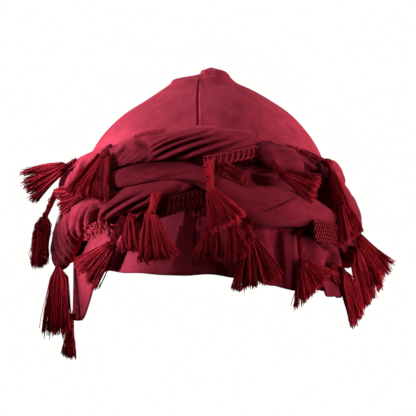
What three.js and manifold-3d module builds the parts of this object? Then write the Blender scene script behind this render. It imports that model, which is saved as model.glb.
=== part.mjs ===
// Ready-tied turban: a soft sewn cap, three loosely rolled strands of a scarf laid round it as
// an open twist, the scarf's tail draped at one temple, knotted net edges and yarn tassels.
// Millimetres, +Z up, the forehead towards -Y. The origin is the middle of the head opening,
// level with the hem at the forehead. Angles are degrees round the head from the forehead,
// positive towards +X.

import * as THREE from 'three';
import Module from 'manifold-3d';

const wasm = await Module();
wasm.setup();

// Driving dimensions
const PEAK_HEIGHT = 121;          // top of the cap above the hem at the forehead
const CAP_WALL = 0.022;           // wall of the cap as a share of its distance from the origin, about 2 mm
const SEAM_DEPTH = 0.8;           // groove of the seam over the head
const SEAM_HALF_ANGLE = 3;        // half the groove's width, in degrees round the head
const SEAM_ANGLE = -4;            // where the seam meets the forehead; it meets the nape at 180
const CAP_STEP = 15;              // degrees between the cap's columns
const SEAT_GAP = 0.6;             // strands and tail lie this far off the cap
const PIECE_GAP = 0.3;            // pieces that press on each other keep this gap
const STRAND_STEP = 7.2;          // degrees between the sections of a strand
const STRAND_SIDES = 10;          // points round a strand
const TAIL_WALL = 2;
const TAIL_STEPS = 22;
const TAIL_LEVELS = 2;
const TAIL_TUCK = 0.6;            // top of the tail below the middle strand, as a share of its half height
const NET_WALL = 1.2;
const NET_STEP = 3;               // degrees between the sections of a net edge
const STRAP_HALF_DEPTH = 1.2;     // strap from the scarf to a tassel's knot
const LOCK_TRIM = [1, 0.93, 1.04, 0.95];   // reach of a tassel's locks, as shares of its length
const LOCK_STEP = 0.7;            // neighbouring locks lie this far in front of each other or behind
const LOCK_ROOT = 0.5;            // half size of a lock inside the knot, as a share of the knot's radius
const STRAP_END = 0.7;            // half width of a strap at the knot, as a share of the knot's radius

// Rows of named columns
function table(columns, rows) {
  const names = columns.split(' ');
  return rows.map((row) => Object.fromEntries(names.map((name, i) => [name, row[i]])));
}

// The cap from the rim up: half width, and depth to the front and to the back, at each height.
// Its soft peak leans to one side of the seam.
const CAP_SECTIONS = table('height half front back lean', [
  [-40, 84, 101, 97, 0],
  [0, 83.5, 101, 98, 0],
  [25, 82, 99, 98, 0],
  [45, 79, 95, 96, 0],
  [60, 75, 89, 92, 0],
  [72, 69.5, 82, 86, 0],
  [82, 62, 74, 78, 0],
  [92, 51.5, 62, 66, 0.3],
  [101, 37.5, 46, 50, 0.8],
  [107, 27.5, 32, 36, 0.2],
  [110.5, 21.3, 23, 27, -1.2],
  [113.4, 18.3, 18, 22, -1.7],
  [114.8, 14.5, 15, 18, 0.8],
  [116.4, 9.6, 11, 13, 4.9],
  [119, 6.8, 7, 9, 4.2],
]);
const PEAK_LEAN = 3.2;

// Height of the hem round the head: level over the forehead, down to a flap at each ear
const HEM = table('angle height', [
  [-180, -8], [-150, -8], [-128, -11], [-113, -26], [-102, -33], [-90, -34], [-68, -34], [-58, -20],
  [-48, -5], [-36, 0], [-18, 0], [6, 0], [20, -4], [34, -8], [45, -11], [58, -14], [68, -18],
  [90, -24], [108, -22], [128, -11], [150, -8],
]);

// Each strand round the head: height of its middle, distance of its middle from the cap, and
// half its height and depth. Folds run along it and wind round it a whole number of times.
const STRAND_LOWER = {
  folds: 3,
  fold_depth: 0.16,
  turns: 2,
  rows: table('angle height out half_height half_depth', [
    [-180, 15, 6.5, 12, 6.5],
    [-140, 12, 7, 14, 7],
    [-105, 10, 7, 15, 7.5],
    [-80, 11, 7.5, 16, 8],
    [-65, 19, 8, 16, 8.5],
    [-50, 34, 10.5, 12, 10],
    [-37, 41, 10.5, 8.5, 9],
    [-27, 45.3, 10.5, 7.4, 8.5],
    [-15, 50.5, 9.5, 6, 7.5],
    [-3, 54.5, 6, 5, 5],
    [8, 60, 5, 5.5, 4.5],
    [17, 65, 7, 8, 6],
    [28, 69, 10, 8.5, 8.5],
    [37, 64.5, 9.5, 9, 8],
    [45, 58, 7.5, 9, 6.5],
    [60, 45, 8.5, 15, 8.5],
    [75, 30, 8.5, 17, 8.5],
    [95, 24, 8, 16.5, 8],
    [130, 22, 7, 15, 7],
    [155, 18, 4.5, 9, 4],
  ]),
};

const STRAND_MIDDLE = {
  folds: 3,
  fold_depth: 0.15,
  turns: -2,
  rows: table('angle height out half_height half_depth', [
    [-180, 30, 6.5, 8, 5.5],
    [-140, 30, 6, 8, 5.5],
    [-80, 34, 5.5, 8, 5],
    [-65, 38, 5.5, 7, 5],
    [-50, 49, 7, 6, 6],
    [-37, 55, 8.5, 7.5, 7],
    [-27, 59, 9, 7.5, 7],
    [-15, 61, 9.5, 7, 7],
    [-4, 59.5, 11.5, 7, 6],
    [6, 51, 13.5, 8.5, 7],
    [16, 42.3, 14, 11.3, 9],
    [29, 39.7, 13.5, 11.7, 10],
    [43, 36, 11, 9, 9],
    [53, 31, 9, 7, 7.5],
    [65, 20, 7, 8, 6.5],
    [80, 8, 7, 10, 6.5],
    [105, 3, 7, 11, 6.5],
    [130, 5, 8, 10, 6.5],
    [155, 17, 13, 9, 4.5],
  ]),
};

const STRAND_UPPER = {
  folds: 3,
  fold_depth: 0.15,
  turns: 2,
  rows: table('angle height out half_height half_depth', [
    [-180, 46, 6.5, 11, 6],
    [-140, 47, 7, 12, 6.5],
    [-105, 49, 7.5, 12.5, 7],
    [-80, 51, 7.5, 12.5, 7.5],
    [-60, 58, 9, 12, 8.5],
    [-47, 66, 9, 10, 8],
    [-40, 69, 7.5, 9, 6.5],
    [-30, 73, 9.5, 10, 8],
    [-15, 76, 11.5, 9.5, 9.5],
    [0, 77.5, 12, 10, 10],
    [13, 78.5, 9.5, 7, 7.5],
    [25, 78.5, 6, 4.5, 4.5],
    [38, 75.5, 3.5, 4, 2.6],
    [55, 66, 3.2, 6.5, 2.6],
    [75, 56, 4, 9, 3.4],
    [100, 51, 6, 12, 5.4],
    [140, 48, 6.5, 11.5, 6],
  ]),
};

// The draped tail: how far its folds stand off the cap, and its lower edge
const TAIL = table('angle out bottom', [
  [18, 0.4, 2],
  [23, 3.9, -5],
  [29, 0.6, -7],
  [34, 4.9, -9],
  [39, 1.4, -10],
  [46, 5.9, -8],
  [52, 4.4, -10],
  [57, 0.9, -16],
  [65, 4.4, -18],
  [74, 0.9, -20],
]);

// Net edges: the strand each one is knotted to, the stretch of it, the place round the
// strand's section where it starts, how far it hangs or, with no hang, how far round it lies,
// and the gap that clears the strand's folds
const NETS = table('name strand from to place hang wrap gap', [
  ['net_upper', 'upper', -1, 21, -52, 7, 0, 0.3],
  ['net_front', 'lower', -14, -1, -55, 9, 0, 0.3],
  ['net_right', 'middle', 38, 58, -50, 9, 0, 0.3],
  ['net_left', 'upper', -35, -20, 52, 0, 36, 0.8],
]);

// Tassels: knot and tip as angle, height and distance from the cap, width and thickness of the
// spread yarn, radius of the knot, and the way round the head that its fan faces. Some hang on
// a strap: the place where it starts, and half its width.
const TASSELS = table('knot tip width depth radius facing neck strap', [
  [[-64, 60.5, 21], [-84, 46.5, 33], 20, 5, 3.2, -30, [-61, 64.5, 16], 1.8],
  [[-42, 69, 18], [-43, 45, 22], 30, 5, 3.6, -30],
  [[-47, 47, 20], [-61, 41, 21], 14, 4.5, 3.2, -46],
  [[-88, 27, 19.5], [-84, -3, 22], 10, 5, 3.2, -40, [-86, 45, 14.2], 1.8],
  [[-70, -16.5, 11], [-71.5, -40, 14], 20, 6, 3.6, -20, [-76, -1, 13], 8],
  [[-75, -33.5, 2.6], [-73.5, -57, 3.6], 9, 4, 2.6, -30],
  [[-37.5, 16, 9], [-48.5, -2.5, 13], 23, 5, 3.4, -36, [-30.5, 34.5, 12], 3.2],
  [[-18.8, 36, 18], [-16.2, 10.3, 16], 25, 5, 3.4, -18, [-17, 49, 18], 3.2],
  [[-28, 34, 12], [-27.7, 14, 11], 14, 4.5, 3, -28],
  [[1.7, 50.5, 22], [7, 32, 25], 22, 5, 3.4, 2, [1.2, 67.2, 20], 3],
  [[2.2, 31.7, 14], [0.8, 12.2, 13], 18, 4.5, 3.2, 2, [2.6, 45, 13], 1.8],
  [[8.6, 32, 16], [11.4, 12, 14], 14, 4.5, 3, 10, [8, 38.5, 17], 1.8],
  [[15.6, 22.2, 13], [18.5, -4.6, 12], 30, 5, 3.6, 16, [14.5, 32, 13], 1.8],
  [[28.5, 58.6, 20], [41.2, 51, 21], 14, 4.5, 3.2, 30, [25, 65.5, 19], 1.8],
  [[61.6, 63, 10], [57, 42.5, 19], 13, 4.5, 3.2, 50],
  [[58, 39.8, 18], [60, 18.8, 20], 19, 4.5, 3.2, 50],
  [[37.4, 5.7, 10], [44, -14.8, 11], 32, 5, 3.4, 37, [37.1, 26.5, 10], 3],
  [[70.8, 16.9, 16.6], [84, -8.5, 28], 16, 4.5, 3.2, 30],
  [[69.6, 9.7, 15], [86, -24.7, 20], 13, 4, 3, 40],
  [[62.8, -2.8, 10], [78, -35.5, 12], 14, 4.5, 3.2, 40],
  [[57.7, 1, 6.4], [73.4, -17.7, 9], 12, 4, 2.6, 50],
  [[6.3, 65, 21], [13, 57.5, 21.5], 7, 3.5, 2.4, 6],
  [[112, 37, 12], [113, 11, 17], 17, 4.5, 3.2, 112],
  [[138, 36, 11], [139, 10, 16], 18, 4.5, 3.2, 138],
  [[164, 38, 11], [163, 13, 20], 17, 4.5, 3.2, 164],
  [[-167, 38, 11], [-166, 14, 15], 18, 4.5, 3.2, -167],
  [[-140, 38, 11.5], [-141, 13, 16], 17, 4.5, 3.2, -140],
  [[-112, 39, 12], [-111, 13, 17], 18, 4.5, 3.2, -112],
]);
const MANY_LOCKS_FROM = 15;       // tassels this wide have four locks, narrower ones three
const LOCK_OVERLAP = 0.62;        // half width of a lock's end, as a share of its pitch
const KNOT_SIDES = 5;
// A knot's rings: place along its axis and size, as shares of the knot's radius
const KNOT_PROFILE = table('along radius', [[-1, 0.5], [0, 1], [1.1, 0.7]]);

// Colours of the cloth and yarn
const cap_cloth = new THREE.MeshStandardMaterial({ color: 0x8a1f33, roughness: 0.9, metalness: 0 });
const scarf_cloth = new THREE.MeshStandardMaterial({ color: 0x7a1829, roughness: 0.9, metalness: 0 });
const net_cord = new THREE.MeshStandardMaterial({ color: 0x66131f, roughness: 0.85, metalness: 0 });
const tassel_yarn = new THREE.MeshStandardMaterial({ color: 0x5c0e18, roughness: 0.8, metalness: 0 });

const radians = THREE.MathUtils.degToRad;

// Smooth curve through one column of a table; period makes it run on round the head
function curve(rows, key, column, period = 0) {
  const before = period ? rows.slice(-2).map((row) => [row[key] - period, row[column]]) : [];
  const after = period ? rows.slice(0, 2).map((row) => [row[key] + period, row[column]]) : [];
  const knots = [...before, ...rows.map((row) => [row[key], row[column]]), ...after];
  const last = knots.length - 1;
  const slopes = knots.map((knot, i) => {
    const a = knots[Math.max(i - 1, 0)];
    const b = knots[Math.min(i + 1, last)];
    return (b[1] - a[1]) / (b[0] - a[0]);
  });
  return (x) => {
    let i = 0;
    while (i < last - 1 && x > knots[i + 1][0]) i += 1;
    const span = knots[i + 1][0] - knots[i][0];
    const t = THREE.MathUtils.clamp((x - knots[i][0]) / span, 0, 1);
    const rise = knots[i + 1][1] - knots[i][1];
    const bend_a = slopes[i] * span - rise;
    const bend_b = rise - slopes[i + 1] * span;
    return knots[i][1] + rise * t + t * (1 - t) * (bend_a * (1 - t) + bend_b * t);
  };
}

// A closed solid from points and triangles, with its faces turned outward
function solidFrom(points, triangles) {
  let volume = 0;
  for (const [a, b, c] of triangles) {
    volume += points[a].dot(new THREE.Vector3().crossVectors(points[b], points[c]));
  }
  const faces = volume < 0 ? triangles.map(([a, b, c]) => [a, c, b]) : triangles;
  const vertProperties = new Float32Array(points.flatMap((p) => [p.x, p.y, p.z]));
  const triVerts = new Uint32Array(faces.flat());
  return new wasm.Manifold(new wasm.Mesh({ numProp: 3, vertProperties, triVerts }));
}

// The skin between neighbouring rings of equal numbers of points
function skin(rings, joined, offset = 0) {
  const sides = rings[0].length;
  const triangles = [];
  const spans = joined ? rings.length : rings.length - 1;
  for (let i = 0; i < spans; i += 1) {
    const here = offset + i * sides;
    const next = offset + ((i + 1) % rings.length) * sides;
    for (let k = 0; k < sides; k += 1) {
      const m = (k + 1) % sides;
      triangles.push([here + k, here + m, next + m], [here + k, next + m, next + k]);
    }
  }
  return triangles;
}

// A solid lofted through rings, joined end to end or closed by flat ends
function loft(rings, joined = false) {
  const triangles = skin(rings, joined);
  if (!joined) {
    const sides = rings[0].length;
    const end = (rings.length - 1) * sides;
    for (let k = 1; k < sides - 1; k += 1) {
      triangles.push([0, k + 1, k], [end, end + k, end + k + 1]);
    }
  }
  return solidFrom(rings.flat(), triangles);
}

function largestBody(solid) {
  const bodies = solid.decompose();
  return bodies.reduce((best, body) => (body.volume() > best.volume() ? body : best));
}

function cut(solid, tools) {
  return largestBody(tools.reduce((rest, tool) => rest.subtract(tool), solid));
}

// The cap's surface
const capHalf = curve(CAP_SECTIONS, 'height', 'half');
const capFront = curve(CAP_SECTIONS, 'height', 'front');
const capBack = curve(CAP_SECTIONS, 'height', 'back');
const capLean = curve(CAP_SECTIONS, 'height', 'lean');
const hemHeight = curve(HEM, 'angle', 'height', 360);

// A point at an angle and height, so far out from the cap's surface
function wrapPoint(angle, height, out) {
  const turn = radians(angle);
  const depth = Math.cos(turn) > 0 ? capFront(height) : capBack(height);
  const across = capLean(height) + (capHalf(height) + out) * Math.sin(turn);
  return new THREE.Vector3(across, -(depth + out) * Math.cos(turn), height);
}

// Columns round the cap, with the seam's groove at the front and the back
function capColumns() {
  const columns = [];
  for (let step = -180; step < 180; step += CAP_STEP) {
    const seam = step === 0 || step === -180;
    const angle = step === 0 ? SEAM_ANGLE : step;
    if (seam) columns.push({ angle: angle - SEAM_HALF_ANGLE, groove: 0 });
    columns.push({ angle, groove: seam ? SEAM_DEPTH : 0 });
    if (seam) columns.push({ angle: angle + SEAM_HALF_ANGLE, groove: 0 });
  }
  return columns;
}

function makeCap() {
  const columns = capColumns();
  const turn_over = CAP_SECTIONS.filter((row) => row.height > 0);
  const hem_ring = columns.map((c) => wrapPoint(c.angle, hemHeight(c.angle), 0));
  const band_ring = columns.map((c) => {
    return wrapPoint(c.angle, (hemHeight(c.angle) + turn_over[0].height) / 2, -c.groove);
  });
  const upper_rings = turn_over.map((row) => {
    return columns.map((c) => wrapPoint(c.angle, row.height, -c.groove));
  });
  const outer = [hem_ring, band_ring, ...upper_rings];
  const inner = outer.map((ring) => ring.map((p) => p.clone().multiplyScalar(1 - CAP_WALL)));
  const peak = new THREE.Vector3(PEAK_LEAN, 0, PEAK_HEIGHT);
  const inner_peak = peak.clone().multiplyScalar(1 - CAP_WALL);
  const rings = [...outer.toReversed(), ...inner];
  const points = [...rings.flat(), peak, inner_peak];
  const triangles = skin(rings, false);
  const sides = columns.length;
  const last_ring = (rings.length - 1) * sides;
  for (let k = 0; k < sides; k += 1) {
    const m = (k + 1) % sides;
    triangles.push([rings.length * sides, m, k]);
    triangles.push([rings.length * sides + 1, last_ring + k, last_ring + m]);
  }
  return solidFrom(points, triangles);
}

// A strand's measures as curves round the head
function strandCurves(strand) {
  const column = (name) => curve(strand.rows, 'angle', name, 360);
  return {
    ...strand,
    height: column('height'),
    out: column('out'),
    half_height: column('half_height'),
    half_depth: column('half_depth'),
  };
}

// A point of a strand's skin: place is the angle round its section, 0 outward and 90 up
function strandPoint(strand, angle, place, grow, fold = 1) {
  const turn = radians(place);
  const rise = (strand.half_height(angle) * fold + grow) * Math.sin(turn);
  const reach = (strand.half_depth(angle) * fold + grow) * Math.cos(turn);
  const out = Math.max(SEAT_GAP - Math.max(grow, 0), strand.out(angle) + reach);
  return wrapPoint(angle, strand.height(angle) + rise, out);
}

function makeStrand(strand, grow = 0) {
  const rings = [];
  for (let angle = -180; angle < 180; angle += STRAND_STEP) {
    const ring = [];
    for (let k = 0; k < STRAND_SIDES; k += 1) {
      const place = (360 * k) / STRAND_SIDES;
      const wave = 0.5 + 0.5 * Math.cos(radians(strand.folds * place + strand.turns * angle));
      ring.push(strandPoint(strand, angle, place, grow, 1 - strand.fold_depth * wave));
    }
    rings.push(ring);
  }
  return loft(rings, true);
}

// The tail: a wavy wall from under the middle strand down to its own edge
function makeTail(strand, grow = 0) {
  const foldOut = curve(TAIL, 'angle', 'out');
  const bottomAt = curve(TAIL, 'angle', 'bottom');
  const first = TAIL[0].angle;
  const last = TAIL[TAIL.length - 1].angle;
  const rings = [];
  for (let i = 0; i <= TAIL_STEPS; i += 1) {
    const angle = first + ((last - first) * i) / TAIL_STEPS;
    const bottom = bottomAt(angle) - grow;
    const top = strand.height(angle) - strand.half_height(angle) * TAIL_TUCK;
    const outside = [];
    const inside = [];
    for (let level = 0; level <= TAIL_LEVELS; level += 1) {
      const height = bottom + ((top - bottom) * level) / TAIL_LEVELS;
      const out = SEAT_GAP + Math.max(foldOut(angle), 0);
      inside.push(wrapPoint(angle, height, out - grow));
      outside.push(wrapPoint(angle, height, out + TAIL_WALL + grow));
    }
    rings.push([...inside, ...outside.reverse()]);
  }
  return loft(rings);
}

// A net edge as a thin band on its strand: hanging down from it, or lying on it
function makeNet(row, strand) {
  const steps = Math.ceil((row.to - row.from) / NET_STEP);
  const rings = [];
  for (let i = 0; i <= steps; i += 1) {
    const angle = row.from + ((row.to - row.from) * i) / steps;
    const start_in = strandPoint(strand, angle, row.place, row.gap);
    const start_out = strandPoint(strand, angle, row.place, row.gap + NET_WALL);
    if (row.hang) {
      const drop = new THREE.Vector3(0, 0, -row.hang);
      rings.push([start_in, start_out, start_out.clone().add(drop), start_in.clone().add(drop)]);
    } else {
      const middle = row.place + row.wrap / 2;
      const end = row.place + row.wrap;
      rings.push([
        start_in,
        start_out,
        strandPoint(strand, angle, middle, row.gap + NET_WALL),
        strandPoint(strand, angle, end, row.gap + NET_WALL),
        strandPoint(strand, angle, end, row.gap),
        strandPoint(strand, angle, middle, row.gap),
      ]);
    }
  }
  return loft(rings);
}

// A four-sided ring about a point, spread along two directions
function barRing(middle, across, half_width, through, half_depth) {
  const corners = [[-1, -1], [1, -1], [1, 1], [-1, 1]];
  return corners.map(([a, b]) => middle.clone()
    .addScaledVector(across, a * half_width)
    .addScaledVector(through, b * half_depth));
}

// The wound knot of a tassel, along its axis
function makeKnot(knot, axis, across, through, radius) {
  const rings = KNOT_PROFILE.map((level) => {
    const share = level.radius * radius;
    const ring = [];
    for (let k = 0; k < KNOT_SIDES; k += 1) {
      const turn = (2 * Math.PI * k) / KNOT_SIDES;
      ring.push(knot.clone()
        .addScaledVector(axis, level.along * radius)
        .addScaledVector(across, Math.cos(turn) * share)
        .addScaledVector(through, Math.sin(turn) * share));
    }
    return ring;
  });
  return loft(rings);
}

// A tassel: knot, a fan of locks and, where the row gives one, the strap above the knot
function makeTassel(row, grow = 0) {
  const knot = wrapPoint(...row.knot);
  const tip = wrapPoint(...row.tip);
  const length = knot.distanceTo(tip);
  const axis = tip.clone().sub(knot).normalize();
  const height = row.knot[1];
  const outward = wrapPoint(row.facing, height, 1).sub(wrapPoint(row.facing, height, 0));
  const across = new THREE.Vector3().crossVectors(axis, outward).normalize();
  const through = new THREE.Vector3().crossVectors(across, axis).normalize();
  const radius = row.radius + grow;
  let solid = makeKnot(knot, axis, across, through, radius);
  const count = row.width >= MANY_LOCKS_FROM ? 4 : 3;
  const pitch = row.width / count;
  for (let i = 0; i < count; i += 1) {
    const side = i - (count - 1) / 2;
    const layer = (i % 2 ? -1 : 1) * LOCK_STEP;
    const reach = length * LOCK_TRIM[i % LOCK_TRIM.length] + grow;
    const end_point = knot.clone()
      .addScaledVector(axis, reach)
      .addScaledVector(across, side * pitch)
      .addScaledVector(through, layer);
    const half_width = pitch * LOCK_OVERLAP + grow;
    const half_depth = row.depth / 2 + grow;
    solid = solid.add(loft([
      barRing(knot, across, radius * LOCK_ROOT, through, radius * LOCK_ROOT),
      barRing(end_point, across, half_width, through, half_depth),
    ]));
  }
  if (row.neck) {
    const start = wrapPoint(...row.neck);
    const along = knot.clone().sub(start).normalize();
    const neck_across = new THREE.Vector3().crossVectors(along, outward).normalize();
    const neck_through = new THREE.Vector3().crossVectors(neck_across, along).normalize();
    const knot_end = Math.min(row.strap, row.radius * STRAP_END);
    solid = solid.add(loft([
      barRing(start, neck_across, row.strap + grow, neck_through, STRAP_HALF_DEPTH + grow),
      barRing(knot, neck_across, knot_end + grow, neck_through, STRAP_HALF_DEPTH + grow),
    ]));
  }
  return solid;
}

function toMesh(name, solid, material) {
  const { vertProperties, triVerts } = solid.getMesh();
  const geometry = new THREE.BufferGeometry();
  geometry.setAttribute('position', new THREE.BufferAttribute(vertProperties, 3));
  geometry.setIndex(new THREE.BufferAttribute(triVerts, 1));
  geometry.computeVertexNormals();
  const mesh = new THREE.Mesh(geometry, material);
  mesh.name = name;
  return mesh;
}

// The turban
const turban = new THREE.Group();
turban.add(toMesh('cap', makeCap(), cap_cloth));

const strands = {
  lower: strandCurves(STRAND_LOWER),
  middle: strandCurves(STRAND_MIDDLE),
  upper: strandCurves(STRAND_UPPER),
};
const grown_lower = makeStrand(strands.lower, PIECE_GAP);
const grown_middle = makeStrand(strands.middle, PIECE_GAP);
const grown_upper = makeStrand(strands.upper, PIECE_GAP);
const grown_strands = [grown_lower, grown_middle, grown_upper];
turban.add(toMesh('strand_lower', makeStrand(strands.lower), scarf_cloth));
turban.add(toMesh('strand_middle', cut(makeStrand(strands.middle), [grown_lower]), scarf_cloth));
const upper_strand = cut(makeStrand(strands.upper), [grown_lower, grown_middle]);
turban.add(toMesh('strand_upper', upper_strand, scarf_cloth));
turban.add(toMesh('scarf_tail', cut(makeTail(strands.middle), grown_strands), scarf_cloth));

const grown_tail = makeTail(strands.middle, PIECE_GAP);
const grown_tassels = [];
TASSELS.forEach((row, i) => {
  const tassel = cut(makeTassel(row), [...grown_strands, grown_tail, ...grown_tassels]);
  grown_tassels.push(makeTassel(row, PIECE_GAP));
  turban.add(toMesh(`tassel_${String(i + 1).padStart(2, '0')}`, tassel, tassel_yarn));
});

NETS.forEach((row) => {
  const net = cut(makeNet(row, strands[row.strand]), [...grown_strands, ...grown_tassels]);
  turban.add(toMesh(row.name, net, net_cord));
});

export default turban;
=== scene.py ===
# A ready-tied turban in burgundy cloth: a sewn cap with a soft peak, a scarf laid round it as an
# open twist of three strands, the scarf's end draped at one temple, netted edges and yarn tassels.
import math

import bpy
import numpy as np
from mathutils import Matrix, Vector


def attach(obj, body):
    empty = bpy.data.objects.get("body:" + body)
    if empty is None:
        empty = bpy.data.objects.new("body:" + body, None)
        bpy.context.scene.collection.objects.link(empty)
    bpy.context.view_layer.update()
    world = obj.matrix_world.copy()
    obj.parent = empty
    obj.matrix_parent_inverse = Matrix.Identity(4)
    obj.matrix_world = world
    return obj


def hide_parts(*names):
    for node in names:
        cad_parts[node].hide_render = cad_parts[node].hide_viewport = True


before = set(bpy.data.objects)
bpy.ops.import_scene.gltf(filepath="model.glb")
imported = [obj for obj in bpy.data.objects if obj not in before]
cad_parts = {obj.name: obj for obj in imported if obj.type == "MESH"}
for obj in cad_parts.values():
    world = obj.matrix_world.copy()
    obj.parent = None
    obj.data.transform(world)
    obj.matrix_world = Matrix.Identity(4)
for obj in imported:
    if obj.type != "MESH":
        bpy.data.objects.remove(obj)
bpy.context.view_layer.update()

# Sizes are in millimetres and angles in degrees; meshes are made in metres
MM = 0.001

# Camera: the point it looks at, its distance and height angle, and the width that it sees there
IMAGE_SIDE = 416
CAMERA_TARGET = np.array([1.3, 0.0, 32.6])
CAMERA_DISTANCE = 1300.0
CAMERA_ELEVATION = 4.0
VIEW_WIDTH = 262.1
SENSOR_WIDTH = 36.0
CAMERA_TILT = math.radians(CAMERA_ELEVATION)
CAMERA_BACK = np.array([0.0, -math.cos(CAMERA_TILT), math.sin(CAMERA_TILT)])
CAMERA_UP = np.array([0.0, math.sin(CAMERA_TILT), math.cos(CAMERA_TILT)])

FLOOR_DROP = 300.0  # from the origin down to the floor
FLOOR_RADIUS = 1100.0
FLOOR_SIDES = 96


def table(columns, rows):
    """Rows of values under named columns, as one array for each column."""
    return {name: np.array(values, float) for name, values in zip(columns.split(), zip(*rows))}


def records(columns, rows):
    """Rows of values under named columns, as one dictionary for each row."""
    names = columns.split()
    return [dict(zip(names, row)) for row in rows]


# The cap by height: half its width, its depth to the front and to the back, its lean to +X
CAP_SECTIONS = table("height half front back lean", [
    (-40, 84, 101, 97, 0),
    (0, 83.5, 101, 98, 0),
    (25, 82, 99, 98, 0),
    (45, 79, 95, 96, 0),
    (60, 75, 89, 92, 0),
    (72, 69.5, 82, 86, 0),
    (82, 62, 74, 78, 0),
    (92, 51.5, 62, 66, 0.3),
    (101, 37.5, 46, 50, 0.8),
    (107, 27.5, 32, 36, 0.2),
    (110.5, 21.3, 23, 27, -1.2),
    (113.4, 18.3, 18, 22, -1.7),
    (114.8, 14.5, 15, 18, 0.8),
    (116.4, 9.6, 11, 13, 4.9),
    (119, 6.8, 7, 9, 4.2),
    (121, 0.01, 0.01, 0.01, 3.2),
])
PEAK_HEIGHT = 121.0

# The cap's lower edge, by angle round the head: 0 is the forehead and 90 is +X
HEM = table("angle height", [
    (-180, -8), (-150, -8), (-128, -11), (-113, -26), (-102, -33), (-90, -34), (-68, -34), (-63, -31),
    (-58, -20), (-53, -6), (-46, -1), (-36, 0), (-18, 0), (6, 0), (20, -4), (34, -8), (45, -11),
    (58, -14), (68, -18), (90, -24), (108, -22), (128, -11), (150, -8),
])

# The strands by angle: height of the middle, its distance from the cap, half sizes of the section,
# how far the folds have turned round the strand, and the folds' depth
STRAND_COLUMNS = "angle height out half_height half_depth turn fold"
STRANDS = {}
STRANDS["lower"] = table(STRAND_COLUMNS, [
    (-180, 15, 6.5, 12, 6.5, 0.0, 1.6),
    (-140, 12, 7, 14, 7, 0.25, 1.8),
    (-105, 10, 7, 15, 7.5, 0.5, 1.8),
    (-80, 11, 7.5, 16, 8, 0.7, 1.4),
    (-65, 20.5, 8, 14.5, 8.5, 0.85, 0.6),
    (-58, 29, 9.5, 12, 9.5, 0.93, 0.6),
    (-50, 34.5, 10.5, 11.5, 10, 1.0, 0.6),
    (-37, 41, 10.5, 8.5, 9, 1.1, 1.0),
    (-27, 45.3, 10.5, 7.4, 8.5, 1.2, 1.2),
    (-15, 50.5, 9.5, 6, 7.5, 1.35, 1.2),
    (-3, 54.5, 6, 5, 5, 1.55, 1.0),
    (8, 60, 5, 5.5, 4.5, 1.75, 0.8),
    (17, 65, 7, 8, 6, 1.9, 0.6),
    (28, 69, 10, 8.5, 8.5, 2.0, 0.6),
    (39.5, 65.5, 9.5, 8.8, 8, 2.12, 0.8),
    (42.5, 62.5, 3.5, 7, 2.6, 2.15, 0.6),
    (47, 58, 3.5, 7, 2.6, 2.22, 0.6),
    (51, 54, 7.5, 10, 6.5, 2.27, 1.0),
    (60, 45, 8.5, 15, 8.5, 2.4, 1.6),
    (75, 30, 8.5, 17, 8.5, 2.6, 1.8),
    (95, 24, 8, 16.5, 8, 2.85, 1.8),
    (130, 22, 7, 15, 7, 3.3, 1.8),
    (155, 18, 4.5, 9, 4, 3.7, 1.2),
])
STRANDS["middle"] = table(STRAND_COLUMNS, [
    (-180, 30, 6.5, 8, 5.5, 0.0, 1.4),
    (-140, 30, 6, 8, 5.5, 0.25, 1.4),
    (-80, 34, 5.5, 8, 5, 0.6, 1.4),
    (-65, 38, 5.5, 7, 5, 0.75, 1.2),
    (-50, 49, 7, 6, 6, 0.9, 1.2),
    (-37, 55, 8.5, 7.5, 7, 1.05, 1.2),
    (-27, 59, 9, 7.5, 7, 1.15, 1.2),
    (-15, 61, 9.5, 7, 7, 1.3, 1.2),
    (-4, 59.5, 11.5, 7, 6, 1.4, 1.0),
    (6, 51, 13.5, 8.5, 7, 1.5, 0.6),
    (16, 42.3, 14, 11.3, 9, 1.55, 0.5),
    (29, 39.7, 13.5, 11.7, 10, 1.65, 0.5),
    (43, 36, 11, 9, 9, 1.75, 0.7),
    (53, 31, 9, 7, 7.5, 1.85, 1.0),
    (65, 20, 7, 8, 6.5, 2.0, 1.4),
    (80, 8, 7, 10, 6.5, 2.15, 1.4),
    (105, 3, 7, 11, 6.5, 2.35, 1.4),
    (130, 5, 8, 10, 6.5, 2.6, 1.4),
    (155, 17, 13, 9, 4.5, 2.8, 1.2),
])
STRANDS["upper"] = table(STRAND_COLUMNS, [
    (-180, 46, 6.5, 11, 6, 0.0, 1.5),
    (-140, 47, 7, 12, 6.5, 0.35, 1.6),
    (-105, 49, 7.5, 12.5, 7, 0.65, 1.6),
    (-80, 51, 7.5, 12.5, 7.5, 0.85, 1.4),
    (-60, 58, 9, 12, 8.5, 1.05, 1.0),
    (-47, 66, 9, 10, 8, 1.2, 1.0),
    (-40, 69, 7.5, 9, 6.5, 1.3, 0.9),
    (-30, 73, 9.5, 10, 8, 1.4, 0.6),
    (-15, 76, 11.5, 9.5, 9.5, 1.55, 0.5),
    (0, 77.5, 12, 10, 10, 1.7, 0.5),
    (13, 78.5, 9.5, 7, 7.5, 1.85, 0.5),
    (25, 78.5, 6, 4.5, 4.5, 2.0, 0.5),
    (38, 75.5, 3.5, 4, 2.6, 2.15, 0.5),
    (55, 66, 3.2, 6.5, 2.6, 2.35, 0.6),
    (75, 56, 4, 9, 3.4, 2.6, 0.8),
    (100, 51, 6, 12, 5.4, 2.9, 1.4),
    (140, 48, 6.5, 11.5, 6, 3.4, 1.5),
])

# Whole turns of the folds round the head, and folds side by side round a strand
STRAND_TURNS = {"lower": 4.0, "middle": 3.0, "upper": 4.0}
STRAND_FOLDS = {"lower": 7, "middle": 6, "upper": 7}
SEAT_GAP = 0.6  # between the cap and what lies on it
PIECE_GAP = 0.4  # between other pieces of cloth

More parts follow.
